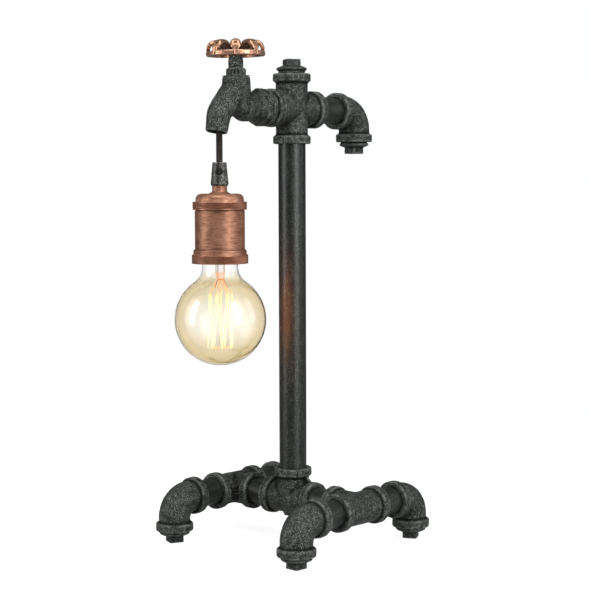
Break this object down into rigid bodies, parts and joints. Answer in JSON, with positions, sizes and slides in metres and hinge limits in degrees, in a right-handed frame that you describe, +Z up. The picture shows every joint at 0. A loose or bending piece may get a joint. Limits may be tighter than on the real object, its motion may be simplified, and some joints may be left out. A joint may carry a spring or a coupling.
{
  "type": "table lamp",
  "caption": "Table lamp of screwed iron pipe: H-shaped base, tall column, tap with a copper handwheel switch, and a copper lampholder with a globe bulb hung on a short cord.",
  "frame": {"origin": "foot of the column's axis, on the table top", "axes": "+Z up along the column; X along the foot rails and the top arm, with the tap and the bulb on the -X side; Y along the base's cross link"},
  "size_m": [0.2384, 0.1866, 0.4557],
  "materials": {
    "cast_iron": "mottled dark casting",
    "plug_iron": "mottled dark casting",
    "pipe_steel": "dark satin pipe",
    "bonnet_steel": "dark satin",
    "switch_plastic": "moulded",
    "stem_steel": "turned",
    "copper_polished": "polished antique copper",
    "copper_brushed": "brushed copper",
    "gunmetal": "satin gunmetal",
    "black_screw": "blackened",
    "textile_cord": "braided textile",
    "inner_lead": "sheath",
    "inlet_rubber": "matt rubber",
    "ceramic": "glazed ceramic",
    "contact_brass": "bright",
    "bulb_brass": "nickel-plated",
    "bulb_black": "black glass",
    "amber_glass": "amber tinted",
    "clear_glass": "clear",
    "hook_wire": "thin wire",
    "filament": "glowing"
  },
  "bodies": {
    "stand": {"base_tee": "cast_iron", "rail_tee_near": "cast_iron", "rail_tee_far": "cast_iron", "top_cross": "cast_iron", "arm_elbow": "cast_iron", "tap_body": "cast_iron", "foot_elbow_near_left": "cast_iron", "foot_elbow_near_right": "cast_iron", "foot_elbow_far_left": "cast_iron", "foot_elbow_far_right": "cast_iron", "top_plug": "plug_iron", "arm_plug": "plug_iron", "foot_plug_near_left": "plug_iron", "foot_plug_near_right": "plug_iron", "foot_plug_far_left": "plug_iron", "foot_plug_far_right": "plug_iron", "column_pipe": "pipe_steel", "arm_nipple": "pipe_steel", "link_nipple_near": "pipe_steel", "link_nipple_far": "pipe_steel", "rail_nipple_near_left": "pipe_steel", "rail_nipple_near_right": "pipe_steel", "rail_nipple_far_left": "pipe_steel", "rail_nipple_far_right": "pipe_steel", "bonnet_washer": "bonnet_steel", "packing_nut": "bonnet_steel", "stem_gland": "bonnet_steel", "rotary_switch": "switch_plastic", "supply_lead": "inner_lead", "inlet_bush": "inlet_rubber", "tap_lead": "textile_cord"},
    "knob": {"switch_stem": "stem_steel", "handwheel": "copper_polished", "handwheel_screw": "stem_steel"},
    "cord": {"pendant_cord": "textile_cord"},
    "lamp": {"cord_grip": "gunmetal", "grip_screw": "black_screw", "entry_nipple": "contact_brass", "holder_cap": "copper_brushed", "upper_ring": "copper_brushed", "holder_shell": "copper_brushed", "shade_ring": "copper_brushed", "lamp_insulator": "ceramic", "socket_shell": "contact_brass", "centre_contact": "contact_brass", "terminal_screws": "stem_steel", "holder_lead": "inner_lead"},
    "bulb_contact": {"bulb_tip": "bulb_brass"},
    "bulb": {"bulb_insulator": "bulb_black", "bulb_cap": "bulb_brass", "bulb_glass": "amber_glass", "glass_mount": "clear_glass", "lead_in_wires": "hook_wire", "support_wires": "hook_wire", "filament": "filament"}
  },
  "joints": [
    {"name": "knob_turn", "type": "hinge", "parent": "stand", "child": "knob", "pos_m": [-0.07213, 0, 0.42309], "axis": [-0.0209, 0, 0.9998], "range_deg": [0, 270]},
    {"name": "cord_swing", "type": "hinge", "parent": "stand", "child": "cord", "pos_m": [-0.0934, 0, 0.3755], "axis": [0, 1, 0], "range_deg": [-12, 25]},
    {"name": "lamp_swing", "type": "hinge", "parent": "cord", "child": "lamp", "pos_m": [-0.0934, 0, 0.348], "axis": [1, 0, 0], "range_deg": [-25, 25]},
    {"name": "bulb_drop", "type": "slide", "parent": "lamp", "child": "bulb_contact", "axis": [0, 0, -1], "range_m": [0, 0.02187]},
    {"name": "bulb_turn", "type": "hinge", "parent": "bulb_contact", "child": "bulb", "pos_m": [-0.0934, 0, 0.348], "axis": [0, 0, -1], "range_deg": [0, 2160]}
  ],
  "couplings": [
    {"joint": "bulb_drop", "follows": "bulb_turn", "m_per_rad": 0.00057757}
  ]
}
